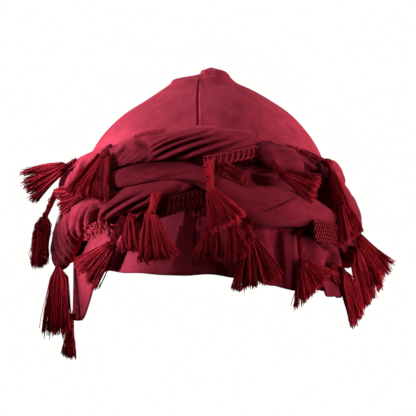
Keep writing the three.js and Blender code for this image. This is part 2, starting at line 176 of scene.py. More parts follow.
# Sharp folds seen from the front, as pixels of the photograph: a curve from start by bend to end,
# half its width in pixels, its depth, and how much painted shade darkens its cloth. Rows of little
# depth and much shade are painted shadow in hollows.
CREASE_COLUMNS = "start bend end width depth shade"
CREASES = {}
CREASES["upper"] = records(CREASE_COLUMNS, [
    ((149, 150), (168, 135), (203, 129), 1.2, 1.8, 0.2),
    ((150, 154), (172, 139), (213, 131), 1.6, 2.8, 0.4),
    ((154, 159), (180, 143), (222, 134), 1.8, 3.4, 0.5),
    ((164, 162), (192, 149), (233, 138), 1.8, 3.2, 0.5),
    ((184, 162), (208, 153), (243, 141), 1.7, 2.6, 0.4),
    ((138, 137), (142, 147), (150, 153), 4.0, 3.6, 0.5),
    ((117, 160), (121, 149), (132, 140), 1.7, 2.6, 0.4),
    ((86, 157), (82, 166), (79, 175), 1.5, 3.0, 0.25),
    ((77, 162), (70, 171), (72, 182), 1.4, 1.4, 0.1),
    ((103, 153), (114, 142), (133, 133), 1.3, 2.6, 0.4),
    ((302, 148), (314, 153), (325, 168), 6.0, 0.5, 0.85),
    ((304, 147), (311, 152), (313, 164), 4.0, 0.3, 0.9),
    ((200, 164), (230, 156), (264, 145), 2.6, 0.6, 0.7),
    ((322, 158), (327, 178), (325, 200), 7.0, 0.3, 0.85),
])
CREASES["lower"] = records(CREASE_COLUMNS, [
    ((70, 209), (61, 229), (80, 247), 1.5, 6.0, 0.8),
    ((86, 203), (69, 222), (78, 241), 1.3, 1.6, 0.1),
    ((91, 204), (75, 221), (87, 237), 1.5, 3.2, 0.25),
    ((97, 202), (92, 216), (95, 232), 3.0, 5.0, 0.5),
    ((64, 217), (60, 243), (80, 253), 1.7, 2.0, 0.7),
    ((60, 222), (55, 247), (78, 258), 1.7, 2.0, 0.7),
    ((56, 228), (51, 252), (75, 264), 1.7, 2.0, 0.7),
    ((52, 236), (48, 259), (71, 270), 1.7, 2.0, 0.7),
    ((58, 212), (44, 248), (70, 266), 11.0, 0.5, 0.7),
    ((232, 160), (256, 168), (272, 182), 8.0, 8.0, 0.9),
    ((249, 144), (263, 157), (262, 176), 5.5, 4.0, 0.95),
    ((203, 166), (232, 159), (262, 148), 5.0, 1.0, 0.7),
    ((304, 146), (318, 158), (315, 190), 4.0, 4.0, 0.6),
    ((258, 147), (279, 136), (303, 152), 1.8, 0.5, 0.7),
    ((304, 150), (309, 160), (309, 174), 4.0, 0.3, 0.9),
    ((311, 146), (320, 166), (316, 200), 8.0, 0.5, 0.95),
    ((322, 160), (327, 178), (325, 198), 7.0, 0.3, 0.8),
    ((97, 213), (104, 198), (124, 187), 2.2, 3.0, 0.4),
    ((103, 217), (116, 204), (147, 189), 1.7, 3.0, 0.4),
    ((119, 215), (130, 206), (150, 198), 1.8, 2.0, 0.3),
])
CREASES["middle"] = records(CREASE_COLUMNS, [
    ((260, 212), (278, 207), (294, 197), 0.9, 1.8, 0.3),
    ((115, 168), (155, 160), (205, 165), 8.0, 0.3, 0.75),
    ((200, 164), (218, 162), (240, 160), 5.0, 0.3, 0.7),
])
CREASES["tail"] = records(CREASE_COLUMNS, [
    ((304, 228), (317, 243), (336, 255), 1.8, 4.5, 0.8),
    ((336, 252), (327, 262), (331, 278), 4.0, 5.0, 0.7),
    ((279, 230), (276, 252), (281, 278), 3.0, 4.0, 0.6),
])

# The draped tail by angle: how far its folds stand off the cap and where its edge is
TAIL = table("angle out bottom", [
    (18, 0.4, 2), (23, 3.9, -5), (29, 0.6, -7), (34, 4.9, -9), (39, 1.4, -10), (46, 5.9, -8),
    (52, 4.4, -10), (57, 0.9, -16), (65, 4.4, -18), (74, 0.9, -20),
])
TAIL_TUCK = 0.6  # share of the middle strand's half height that hides the top
TAIL_WALL = 1.4

# Tassels: knot and tip as angle, height and distance from the cap, width and depth of the spread
# yarn, radius of the knot, the way its fan faces, and of one on a strap the strap's start and half
# its width
TASSELS = records("knot tip width depth radius facing neck strap", [
    ((-64, 60.5, 21), (-84, 46.5, 33), 23, 5, 3.2, -30, (-61, 64.5, 16), 1.8),
    ((-42, 69, 18), (-43, 45, 22), 30, 5, 3.6, -30),
    ((-47, 47, 20), (-61, 41, 21), 14, 4.5, 3.2, -46),
    ((-88, 27, 19.5), (-84, -3, 22), 10, 5, 3.2, -40, (-86, 45, 14.2), 2.6),
    ((-75, -2, 10), (-69, -40, 13), 20, 6, 3.6, -20),
    ((-75, -33.5, 2.6), (-73.5, -57, 3.6), 9, 4, 2.6, -30),
    ((-37.5, 16, 9), (-48.5, -2.5, 13), 23, 5, 3.4, -36, (-30.5, 34.5, 12), 3.2),
    ((-18.8, 36, 18), (-16.2, 10.3, 16), 25, 5, 3.4, -18, (-17, 49, 18), 3.2),
    ((-28, 34, 12), (-27.7, 14, 11), 14, 4.5, 3, -28),
    ((1.7, 50.5, 22), (7, 32, 25), 22, 5, 3.4, 2, (1.2, 67.2, 20), 3),
    ((2.2, 31.7, 14), (0.8, 12.2, 13), 18, 4.5, 3.2, 2, (2.6, 45, 13), 1.8),
    ((8.6, 32, 16), (11.4, 12, 14), 14, 4.5, 3, 10, (8, 38.5, 17), 1.8),
    ((15.6, 22.2, 13), (18.5, -4.6, 12), 30, 5, 3.6, 16, (14.5, 32, 13), 1.8),
    ((28.5, 58.6, 20), (40.2, 49.2, 21), 15, 4.5, 3.2, 30, (25, 65.5, 19), 1.8),
    ((61.6, 63, 10), (53.5, 42, 20), 19, 4.5, 3.2, 50, (41, 73.5, 7.5), 2.6),
    ((55.5, 39.8, 18), (58, 18.8, 20), 24, 4.5, 3.2, 50),
    ((37.4, 5.7, 10), (43.5, -10.5, 11), 35, 5, 3.4, 37, (37.1, 26.5, 10), 3),
    ((70.8, 16.9, 16.6), (84, -8.5, 28), 20, 4.5, 3.2, 30),
    ((69.6, 9.7, 15), (86, -24.7, 20), 18, 4, 3, 40),
    ((62.8, -2.8, 10), (78, -35.5, 12), 14, 4.5, 3.2, 40),
    ((57.7, 1, 6.4), (73.4, -17.7, 9), 12, 4, 2.6, 50),
    ((6.3, 65, 21), (13, 57.5, 21.5), 7, 3.5, 2.4, 6),
    ((112, 37, 12), (113, 11, 17), 17, 4.5, 3.2, 112),
    ((138, 36, 11), (139, 10, 16), 18, 4.5, 3.2, 138),
    ((164, 38, 11), (163, 13, 20), 17, 4.5, 3.2, 164),
    ((-167, 38, 11), (-166, 14, 15), 18, 4.5, 3.2, -167),
    ((-140, 38, 11.5), (-141, 13, 16), 17, 4.5, 3.2, -140),
    ((-112, 39, 12), (-111, 13, 17), 18, 4.5, 3.2, -112),
])

# Net edges: the strand, the stretch of it, the place round its section where the net starts,
# how far it hangs or lies round the strand, its rows, the tint of its cord, the width of a mesh,
# how far its cords swing to a side as a share of that, and their radius. The front net's low tint
# is painted shade, for the dark hollow it hangs in.
NETS = records("name strand first last place hang wrap rows tint mesh swing cord", [
    ("net_upper", "upper", -1, 23, -50, 5.5, 0, 1, 0.45, 4.4, 0.5, 0.8),
    # painted shade: this net's cord is tinted dark for the hollow it hangs in
    ("net_front", "lower", -14, -1, -55, 9, 0, 2, 0.1, 3.2, 0.45, 0.42),
    ("net_right", "middle", 38, 58, -30, 13, 0, 6, 0.9, 2.1, 0.7, 0.36),
    ("net_left", "upper", -35, -20, 52, 0, 22, 1, 0.45, 3.6, 0.45, 0.35),
    ("picots", "middle", 4, 15, 62, -4, 0, 1, 0.45, 3.6, 0.45, 0.5),
    ("knotted_edge", "lower", -47, -37, -60, 8, 0, 3, 0.5, 2.2, 0.45, 0.36),
])
STITCHED = "net_right"  # the net whose rows are slanted stitches before dark cords
KNOTTED = "knotted_edge"  # the net that is a thick edge of small knots


# Curves through the tables

def curve(x, y, period=None, rise=0.0):
    """A smooth curve through points; with a period it goes on for ever, rising by rise each time."""
    if period:
        x = np.concatenate([x[-3:] - period, x, x[:3] + period])
        y = np.concatenate([y[-3:] - rise, y, y[:3] + rise])
    slope = np.empty_like(y)
    slope[1:-1] = (y[2:] - y[:-2]) / (x[2:] - x[:-2])
    slope[0] = (y[1] - y[0]) / (x[1] - x[0])
    slope[-1] = (y[-1] - y[-2]) / (x[-1] - x[-2])

    def at(place):
        place = np.asarray(place, float)
        turns = np.floor((place + period / 2) / period) if period else 0.0
        local = place - turns * period if period else place
        i = np.clip(np.searchsorted(x, local, side="right") - 1, 0, len(x) - 2)
        span = x[i + 1] - x[i]
        t = np.clip((local - x[i]) / span, 0, 1)
        value = (
            y[i] * (1 + 2 * t) * (1 - t) ** 2
            + slope[i] * span * t * (1 - t) ** 2
            + y[i + 1] * t * t * (3 - 2 * t)
            - slope[i + 1] * span * t * t * (1 - t)
        )
        return value + turns * rise

    return at


def columns_by(rows, along, period=None, rises=None):
    """A curve for every other column of a table, along the one named."""
    rises = rises or {}
    return {
        name: curve(rows[along], rows[name], period, rises.get(name, 0.0))
        for name in rows if name != along
    }


cap = columns_by(CAP_SECTIONS, "height")
hem_height = curve(HEM["angle"], HEM["height"], 360)
strands = {
    name: columns_by(rows, "angle", 360, {"turn": STRAND_TURNS[name]})
    for name, rows in STRANDS.items()
}
tail = columns_by(TAIL, "angle")


def wrap_point(angle, height, out):
    """The point at an angle round the head, at a height, and so far out from the cap."""
    turn = np.radians(angle)
    depth = np.where(np.cos(turn) > 0, cap["front"](height), cap["back"](height))
    x = cap["lean"](height) + (cap["half"](height) + out) * np.sin(turn)
    y = -(depth + out) * np.cos(turn)
    return np.stack([x, y, height + np.zeros_like(x)], axis=-1)


def unwrap_point(points):
    """The angle, height and distance from the cap of points, the other way round from wrap_point."""
    height = points[..., 2]
    x = points[..., 0] - cap["lean"](height)
    y = points[..., 1]
    half = cap["half"](height)
    depth = np.where(y < 0, cap["front"](height), cap["back"](height))
    out = np.hypot(x, y) - np.minimum(half, depth)
    for _ in range(8):
        wide = np.maximum(half + out, 1.0)
        deep = np.maximum(depth + out, 1.0)
        over = (x / wide) ** 2 + (y / deep) ** 2 - 1
        slope = -2 * x * x / wide ** 3 - 2 * y * y / deep ** 3
        out = out - over / np.minimum(slope, -1e-6)
    angle = np.degrees(np.arctan2(x / (half + out), -y / (depth + out)))
    return angle, height, out


def to_photo(points):
    """Where points show in the photograph, in its pixels."""
    offset = points - CAMERA_TARGET
    scale = IMAGE_SIDE / VIEW_WIDTH / (1 - offset @ CAMERA_BACK / CAMERA_DISTANCE)
    return np.stack([
        IMAGE_SIDE / 2 + offset[..., 0] * scale,
        IMAGE_SIDE / 2 - offset @ CAMERA_UP * scale,
    ], axis=-1)


# Smooth random waves on the cloth: their seed, how many are added up, the most of them round the
# head and round a strand, and their height
RIPPLES = {
    "cap": (11, 14, 5, 3, 0.5),
    "cap_hem": (12, 10, 26, 0, 0.45),
    "tail_edge": (41, 8, 40, 0, 0.8),
    "tail_sway": (42, 6, 6, 2, 2.2),
    "tail_crumple": (43, 14, 60, 6, 0.35),
    "fold_wander": (0, 10, 6, 2, 0.42),
    "fold_strength": (1, 12, 9, 2, 0.5),
    "fine_wander": (2, 10, 9, 3, 0.6),
    "fine_strength": (3, 12, 12, 4, 0.6),
    "lumps": (4, 12, 14, 2, 0.5),
}


def ripples(name, angle, place=0.0, strand_seed=0):
    """Random waves over angles round the head and round a strand, which close on themselves."""
    seed, waves, most_round_head, most_round_strand, height = RIPPLES[name]
    draw = np.random.default_rng(seed + strand_seed)
    total = np.zeros(np.broadcast(angle, place).shape)
    for _ in range(waves):
        a = int(draw.integers(-most_round_head, most_round_head + 1))
        b = int(draw.integers(0, most_round_strand + 1))
        total = total + np.sin(np.radians(a * angle + b * place) + draw.uniform(0, 2 * math.pi))
    return height * (total / math.sqrt(waves))


FRONT_CROWDING = 28.0  # degrees by which points crowd to the forehead
FACE_CROWDING = 34.0  # and to the outer face of a strand


def crowded(first, count, crowding):
    """Angles of a whole turn, closer together near 0 than opposite."""
    even = np.linspace(first, first + 360, count, endpoint=False)
    return even - crowding * np.sin(np.radians(even))


def closed(angles):
    """Angles of a whole turn with the first one again at the end."""
    return np.append(angles, angles[0] + 360)


def bell(offset, height=1.0, width=1.0):
    """A smooth bump of so much height and half width, at an offset from its middle."""
    return height * np.exp(-((offset / width) ** 2))


def section(strand, angle):
    """A strand's section: its middle's height and distance from the cap, half its height and depth."""
    return [strand[name](angle) for name in ("height", "out", "half_height", "half_depth")]


# Meshes

def grid_faces(rows, columns, wraps_rows=False, wraps_columns=False):
    """Quads of a grid of points: the corners of each, and their places in the grid of its picture."""
    r, c = np.meshgrid(
        np.arange(rows if wraps_rows else rows - 1),
        np.arange(columns if wraps_columns else columns - 1),
        indexing="ij",
    )
    corner_rows = np.stack([r, r, r + 1, r + 1], axis=-1).reshape(-1, 4)
    corner_columns = np.stack([c, c + 1, c + 1, c], axis=-1).reshape(-1, 4)
    corners = (corner_rows % rows) * columns + corner_columns % columns
    return corners, corner_rows, corner_columns


def new_object(name, data):
    """An object in the scene, of a mesh, a light or a camera."""
    made = bpy.data.objects.new(name, data)
    bpy.context.scene.collection.objects.link(made)
    return made


def new_mesh(name, points, faces, material):
    """A mesh of points in millimetres and faces."""
    mesh = bpy.data.meshes.new(name)
    mesh.from_pydata((np.asarray(points) * MM).tolist(), [], [list(map(int, f)) for f in faces])
    mesh.materials.append(material)
    return mesh


def new_piece(name, points, faces, material, weave=None, tint=None):
    """A piece of the turban, with its weave's place, and its yarn's tint (with painted shade or light
    on some tassels) or its cloth's painted shade.
    """
    mesh = new_mesh(name, points, faces, material)
    mesh.polygons.foreach_set("use_smooth", np.ones(len(mesh.polygons), bool))
    if weave is not None:
        layer = mesh.uv_layers.new(name="weave")
        layer.data.foreach_set("uv", np.asarray(weave, float).reshape(-1))
    if tint is not None:
        layer = mesh.attributes.new("tint", "FLOAT", "POINT")
        layer.data.foreach_set("value", np.asarray(tint, float))
    mesh.validate()
    mesh.update()
    piece = new_object(name, mesh)
    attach(piece, "root")
    return piece


def unit(vectors):
    return vectors / np.maximum(np.linalg.norm(vectors, axis=-1, keepdims=True), 1e-9)


def frames_along(paths):
    """Two directions across each point of a set of paths, at right angles to the path."""
    along = unit(np.gradient(paths, axis=1))
    helper = np.where(np.abs(along[..., 2:3]) < 0.9, [0.0, 0.0, 1.0], [1.0, 0.0, 0.0])
    side = unit(np.cross(along, helper))
    return side, np.cross(along, side)


def tubes(paths, radius, sides):
    """Closed tubes along paths of equally many points: their points and faces."""
    paths = np.asarray(paths, float)
    count, steps, _ = paths.shape
    radius = np.broadcast_to(radius, (count, steps))
    side, across = frames_along(paths)
    turn = 2 * np.pi * np.arange(sides) / sides
    ring = (
        side[:, :, None, :] * np.cos(turn)[None, None, :, None]
        + across[:, :, None, :] * np.sin(turn)[None, None, :, None]
    )
    points = paths[:, :, None, :] + ring * radius[:, :, None, None]
    wall, _, _ = grid_faces(steps, sides, wraps_columns=True)
    first = np.arange(count)[:, None, None] * (steps * sides)
    faces = (wall[None, :, :] + first).reshape(-1, 4).tolist()
    cap_start = np.arange(sides)[::-1]
    cap_end = np.arange(sides) + (steps - 1) * sides
    for k in range(count):
        base = k * steps * sides
        faces.append((cap_start + base).tolist())
        faces.append((cap_end + base).tolist())
    return points.reshape(-1, 3), faces


def joined(parts):
    """Several sets of points, faces and tints as one."""
    points, faces, tints, count = [], [], [], 0
    for part_points, part_faces, part_tints in parts:
        points.append(part_points)
        faces.extend([[int(i) + count for i in face] for face in part_faces])
        tints.append(np.broadcast_to(part_tints, len(part_points)))
        count += len(part_points)
    return np.concatenate(points), faces, np.concatenate(tints)


# Materials

def set_inputs(tree, node, inputs):
    """Sets inputs of a node, by name or number, to a value or to what another node puts out."""
    for name, value in inputs.items():
        if isinstance(value, bpy.types.NodeSocket):
            tree.links.new(value, node.inputs[name])
        else:
            node.inputs[name].default_value = value


def add_node(tree, kind, output, inputs, **settings):
    """A named output of a new node with these inputs and settings."""
    node = tree.nodes.new("ShaderNode" + kind)
    for name, value in settings.items():
        setattr(node, name, value)
    set_inputs(tree, node, inputs)
    return node.outputs[output]


def maths(tree, operation, *values):
    return add_node(tree, "Math", "Value", dict(enumerate(values)), operation=operation)


def colour_ramp(tree, factor, *stops):
    """A colour that goes from one stop to the next, each a place from 0 to 1 and its colour."""
    ramp = tree.nodes.new("ShaderNodeValToRGB")
    for element, (place, colour) in zip(ramp.color_ramp.elements, stops):
        element.position = place
        element.color = (*colour, 1.0)
    tree.links.new(factor, ramp.inputs["Fac"])
    return ramp.outputs["Color"]


def new_material(name):
    """A material, with its node tree and its shader."""
    material = bpy.data.materials.new(name)
    material.use_nodes = True
    return material, material.node_tree, material.node_tree.nodes["Principled BSDF"]


PAINTED_SHADE_COLOUR = (0.015, 0.001, 0.002)  # painted shade: the colour the cloth is darkened toward in sharp folds and hollows
SLUB_SCALES = ((90.0, 1500.0, 1.0), (1500.0, 110.0, 1.0))  # slubs a metre, along each set of threads
WAVE_PITCH = 0.3142  # metres between the bands of a wave texture of scale 1


def cloth_material(name, dark, light, sheen, thread):
    """Woven cloth: two crossing sets of threads, slubs, colour that varies, and painted shade in its
    folds and hollows.
    """
    material, tree, shader = new_material(name)
    weave = add_node(tree, "UVMap", "UV", {}, uv_map="weave")
    slubs = []
    for scale in SLUB_SCALES:
        drawn_out = add_node(tree, "Mapping", "Vector", {"Vector": weave, "Scale": scale})
        noise = {"Vector": drawn_out, "Scale": 1.0, "Detail": 2.0}
        slubs.append(add_node(tree, "TexNoise", "Fac", noise))
    slub = maths(tree, "ADD", *slubs)
    clouds = add_node(tree, "TexNoise", "Fac", {"Vector": weave, "Scale": 70.0, "Detail": 3.0})
    varied = maths(tree, "MULTIPLY_ADD", slub, 0.5, maths(tree, "MULTIPLY_ADD", clouds, 0.7, -0.35))
    plain = colour_ramp(tree, varied, (0.3, dark), (0.7, light))
    # Painted shade: the tint attribute mixes the cloth toward a near-black colour in folds and hollows
    shade = add_node(tree, "Attribute", "Fac", {}, attribute_name="tint")
    painted_shade_mix = {"Fac": shade, "Color1": plain, "Color2": (*PAINTED_SHADE_COLOUR, 1.0)}
    threads = []
    for direction in ("X", "Y"):
        bands = {
            "Vector": weave,
            "Scale": WAVE_PITCH / (thread * MM),
            "Distortion": 1.2,
            "Detail": 1.0,
            "Detail Scale": 0.4,
        }
        threads.append(add_node(tree, "TexWave", "Fac", bands, bands_direction=direction))
    relief = maths(tree, "ADD", maths(tree, "ADD", *threads), slub)
    bump = {"Strength": 0.5, "Distance": 0.12 * MM, "Height": relief}
    set_inputs(tree, shader, {
        "Base Color": add_node(tree, "MixRGB", "Color", painted_shade_mix),
        "Normal": add_node(tree, "Bump", "Normal", bump),
        "Roughness": 0.82,
        "Specular IOR Level": 0.0,
        "Sheen Weight": sheen,
        "Sheen Roughness": 0.45,
        "Sheen Tint": (1.0, 0.62, 0.68, 1.0),
    })
    return material


def yarn_material(name, dark, light, roughness, sheen):
    """Twisted yarn: each thread has its own tint, with fibres across it."""
    material, tree, shader = new_material(name)
    place = add_node(tree, "TexCoord", "Object", {})
    fibre = add_node(tree, "TexNoise", "Fac", {"Vector": place, "Scale": 1800.0, "Detail": 2.0})
    tint = add_node(tree, "Attribute", "Fac", {}, attribute_name="tint")
    varied = maths(tree, "MULTIPLY_ADD", fibre, 0.3, tint)
    bump = {"Strength": 0.4, "Distance": 0.1 * MM, "Height": fibre}
    set_inputs(tree, shader, {
        "Base Color": colour_ramp(tree, varied, (0.1, dark), (1.0, light)),
        "Normal": add_node(tree, "Bump", "Normal", bump),
        "Roughness": roughness,
        "Specular IOR Level": 0.0,
        "Sheen Weight": sheen,
        "Sheen Roughness": 0.4,
        "Sheen Tint": (1.0, 0.14, 0.2, 1.0),
    })
    return material


CAP_CLOTH = cloth_material(
    "cap cloth", dark=(0.29, 0.018, 0.037), light=(0.47, 0.036, 0.068), sheen=0.04, thread=1.25)
SCARF_CLOTH = cloth_material(
    "scarf cloth", dark=(0.26, 0.015, 0.031), light=(0.43, 0.030, 0.058), sheen=0.03, thread=1.15)
NET_CORD = yarn_material(
    "net cord", dark=(0.08, 0.002, 0.004), light=(0.72, 0.050, 0.082), roughness=0.45, sheen=0.0)
TASSEL_YARN = yarn_material(
    "tassel yarn", dark=(0.11, 0.003, 0.006), light=(0.80, 0.033, 0.060), roughness=0.4, sheen=0.08)


# The cap

CAP_COLUMNS = 440
CAP_RINGS = 104
CAP_INNER_RINGS = 20
RING_CROWDING = 1.7  # a power: the rings lie closer at the peak
CAP_WALL = 1.8
CAP_GIRTH = 560.0  # of its weave
SEAM = table("height across", [(-40, -7), (0, -6.6), (20, -6.2), (85, -4.5), (113, -4.3), (121, 0)])
BACK_SEAM = 0.4  # how far off the middle the seam is behind, as a share
# Relief of the cap: the height of each feature and half its width
SEAM_GROOVE = (-0.9, 0.5)
SEAM_LIFT = (0.3, 1.0)
SEAM_PUCKER = (0.25, 3.0)
HEM_ROLL = (0.6, 1.6)
HEM_STITCH = (-0.35, 0.8)
LIFT_AT = 1.6  # on both sides of the seam
PUCKER_TURN = 2.4  # radians a millimetre
RIPPLE_TURN = 2.2  # degrees a millimetre
STITCHES = 170  # round the hem
STITCH_ROW = 6.0  # above the hem's edge
PEAK_FLAT = 0.02  # cut off the peak
PEAK_CALM = 12.0  # below the peak, where the relief dies out
TURN_UP = 70.0  # the height where the relief starts to face up
TURN_SPAN = 45.0
seam_across = curve(SEAM["height"], SEAM["across"])


def cap_skin(angle, rings, inset):
    """Points of the cap in rings from the hem to the peak."""
    rise = np.linspace(0, 1, rings)[:, None] + 0 * angle
    bottom = hem_height(angle) + ripples("cap_hem", angle)
    height = bottom + (PEAK_HEIGHT - bottom) * (1 - (1 - rise) ** RING_CROWDING)
    height = np.minimum(height, PEAK_HEIGHT - PEAK_FLAT)
    points = wrap_point(angle, height, 0.0)
    behind = np.cos(np.radians(angle)) <= 0
    off_seam = points[..., 0] - np.where(behind, BACK_SEAM, 1.0) * seam_across(height)
    relief = bell(np.abs(off_seam) - LIFT_AT, *SEAM_LIFT) + bell(off_seam, *SEAM_GROOVE)
    relief += bell(off_seam, *SEAM_PUCKER) * np.sin(height * PUCKER_TURN)
    relief += ripples("cap", angle, RIPPLE_TURN * height)
    relief *= np.clip((PEAK_HEIGHT - height) / PEAK_CALM, 0, 1)
    stitch = 0.6 + 0.4 * np.sin(np.radians(angle * STITCHES))
    relief += bell(height - bottom - STITCH_ROW, *HEM_STITCH) * stitch
    relief += bell(height - bottom, *HEM_ROLL)
    side = points - np.stack([cap["lean"](height), np.zeros_like(height), height], axis=-1)
    side /= np.maximum(np.linalg.norm(side[..., :2], axis=-1, keepdims=True), 1e-6)
    turned = np.clip((height - TURN_UP) / TURN_SPAN, 0, 1)[..., None]
    facing = unit(side * (1 - 0.8 * turned) + np.array([0.0, 0.0, 0.9]) * turned)
    return points + facing * (relief - inset)[..., None]


def make_cap():
    angle = crowded(-180, CAP_COLUMNS, FRONT_CROWDING)
    outer = cap_skin(angle[None, :], CAP_RINGS, 0.0)
    inner = cap_skin(angle[None, :], CAP_INNER_RINGS, CAP_WALL)
    inner[:, :, 2] = np.minimum(inner[:, :, 2], PEAK_HEIGHT - CAP_WALL)
    skins = np.concatenate([inner[::-1], outer])
    faces, corner_rows, corner_columns = grid_faces(len(skins), CAP_COLUMNS, wraps_columns=True)
    around = closed(angle) / 360 * CAP_GIRTH
    up = np.concatenate([[0], np.cumsum(np.linalg.norm(np.diff(skins[:, 0], axis=0), axis=1))])
    weave = np.stack([around[corner_columns], up[corner_rows]], axis=-1) * MM
    piece = new_piece("turban_cap", skins.reshape(-1, 3), faces, CAP_CLOTH, weave)
    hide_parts("cap")


# The strands

STRAND_STEPS = 660
STRAND_SIDES = 76
STRAND_LENGTH = 640.0  # of its weave
STRAND_GIRTH = 80.0
CREASE_POINTS = 150
CREASE_REACH = 4  # of a sharp fold, in half widths
CREASE_LAST = 98.0  # the angle where the sharp folds have run out
CREASE_FADE = 24.0  # over how many degrees they do
CREASE_END = 0.6  # a power: the smaller, the sooner a fold is deep
RIDGE = 0.22  # beside a sharp fold, as a share of its depth
RIDGE_AT = 2.0  # half widths from it
OUTER_FACE = -0.2  # the cosine round a strand down to which sharp folds go
MOST_PRESSED = 0.85  # by a fold, as a share of the half size
# Soft folds: a power for their sharpness, and their mean, least and most strength
FOLD_SHARPNESS = 0.65
FOLD_STRENGTH = (0.55, 0.05, 1.1)
PAINTED_SOFT_FOLD_SHADE = 0.3  # painted shade: how much darker the cloth is made down in them
FINE_FOLDS = 2.6  # to each soft fold
FINE_FOLD = 0.35
FINE_SHARPNESS = 0.8
FINE_STRENGTH = (0.5, 0.0, 1.0)
LUMP = 0.6


def creased(piece_name, points, angle, outward):
    """How far the sharp folds press in at points of a piece that face the front, and the painted shade
    that darkens the cloth there.
    """
    frontal = np.clip((CREASE_LAST - np.abs(angle)) / CREASE_FADE, 0, 1)
    seen = to_photo(points)
    depth = np.zeros(points.shape[:-1])
    unshaded = np.ones(points.shape[:-1])
    t = np.linspace(0, 1, CREASE_POINTS)[:, None]
    for crease in CREASES[piece_name]:
        start, bend, end = (np.array(crease[key], float) for key in ("start", "bend", "end"))
        line = start * (1 - t) ** 2 + 2 * bend * t * (1 - t) + end * t * t
        low = line.min(axis=0) - CREASE_REACH * crease["width"]
        high = line.max(axis=0) + CREASE_REACH * crease["width"]
        near = outward & (frontal > 0) & np.all((seen > low) & (seen < high), axis=-1)
        apart = np.linalg.norm(seen[near][:, None, :] - line[None, :, :], axis=2)
        along = (apart.argmin(axis=1) + 0.5) / CREASE_POINTS
        fade = np.clip(np.sin(np.pi * along), 0, 1) ** CREASE_END * frontal[near]
        off = apart.min(axis=1) / crease["width"]
        depth[near] += crease["depth"] * fade * (bell(off) - RIDGE * bell(off - RIDGE_AT))
        # Painted shade: the cloth along the fold is darkened
        unshaded[near] *= 1 - crease["shade"] * fade * bell(off)
    return depth, 1 - unshaded


def kept_clear(angle, height, out, other):
    """Places moved out of another strand's section, straight away from its middle."""
    level, off, tall, deep = section(other, angle)
    rise = (height - level) / (tall + PIECE_GAP)
    reach = (out - off) / (deep + PIECE_GAP)
    share = np.maximum(np.hypot(rise, reach), 0.05)
    grow = np.where(share < 1, 1 / share, 1.0)
    return level + rise * grow * (tall + PIECE_GAP), off + reach * grow * (deep + PIECE_GAP)


def strand_skin(name, seed, below):
    """Points of a strand, their angles round the head and round the strand, and the painted shade of
    their cloth.
    """
    angle, place = np.broadcast_arrays(
        crowded(-180, STRAND_STEPS, FRONT_CROWDING)[:, None],
        crowded(0, STRAND_SIDES, FACE_CROWDING)[None, :],
    )

    def waves(kind, mean=0.0, least=-math.inf, most=math.inf):
        return np.clip(mean + ripples(kind, angle, place, seed), least, most)

    strand = strands[name]
    phase = STRAND_FOLDS[name] * (place / 360 - strand["turn"](angle)) + waves("fold_wander")
    valley = 1 - np.abs(np.sin(np.pi * phase)) ** FOLD_SHARPNESS
    valley = valley * waves("fold_strength", *FOLD_STRENGTH)
    fine_phase = FINE_FOLDS * phase + waves("fine_wander")
    fine = 1 - np.abs(np.sin(np.pi * fine_phase)) ** FINE_SHARPNESS
    press = strand["fold"](angle) * valley + LUMP * waves("lumps", 0.5)
    press = press + FINE_FOLD * fine * waves("fine_strength", *FINE_STRENGTH)
    level, off, tall, deep = section(strand, angle)
    rise, face = np.sin(np.radians(place)), np.cos(np.radians(place))

    def pressed(depth):
        return level + (tall - depth) * rise, off + (deep - depth) * face

    sharp, shade = creased(name, wrap_point(angle, *pressed(press)), angle, face > OUTER_FACE)
    # Painted shade: the cloth is also darkened down in the soft folds
    shade = 1 - (1 - shade) * (1 - PAINTED_SOFT_FOLD_SHADE * valley)
    height, out = pressed(np.minimum(press + sharp, MOST_PRESSED * np.minimum(tall, deep)))
    for other in below:
        height, out = kept_clear(angle, height, out, strands[other])
    return wrap_point(angle, height, np.maximum(out, SEAT_GAP)), angle[:, 0], place[0], shade


def make_strand(name, seed, below):
    skin, angle, place, shade = strand_skin(name, seed, below)
    faces, corner_rows, corner_columns = grid_faces(STRAND_STEPS, STRAND_SIDES, True, True)
    around = closed(angle) / 360 * STRAND_LENGTH
    turned = closed(place) / 360 * STRAND_GIRTH
    weave = np.stack([around[corner_rows], turned[corner_columns]], axis=-1) * MM
    skin = skin.reshape(-1, 3)
    piece = new_piece("scarf_" + name, skin, faces, SCARF_CLOTH, weave, shade.reshape(-1))
    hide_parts("strand_" + name)


# The draped tail

TAIL_STEPS = 200
TAIL_LEVELS = 48
TAIL_LOOSE = 0.4  # how far its flattest places stand off their seat
TAIL_FLATTER = 0.25  # share of the folds' height that is lost at the top
SWAY_TURN = 30  # degrees of its waves from the edge to the top
CRUMPLE_TURN = 60
TAIL_WEAVE = (130.0, 100.0)  # size of its weave along the edge and over both faces


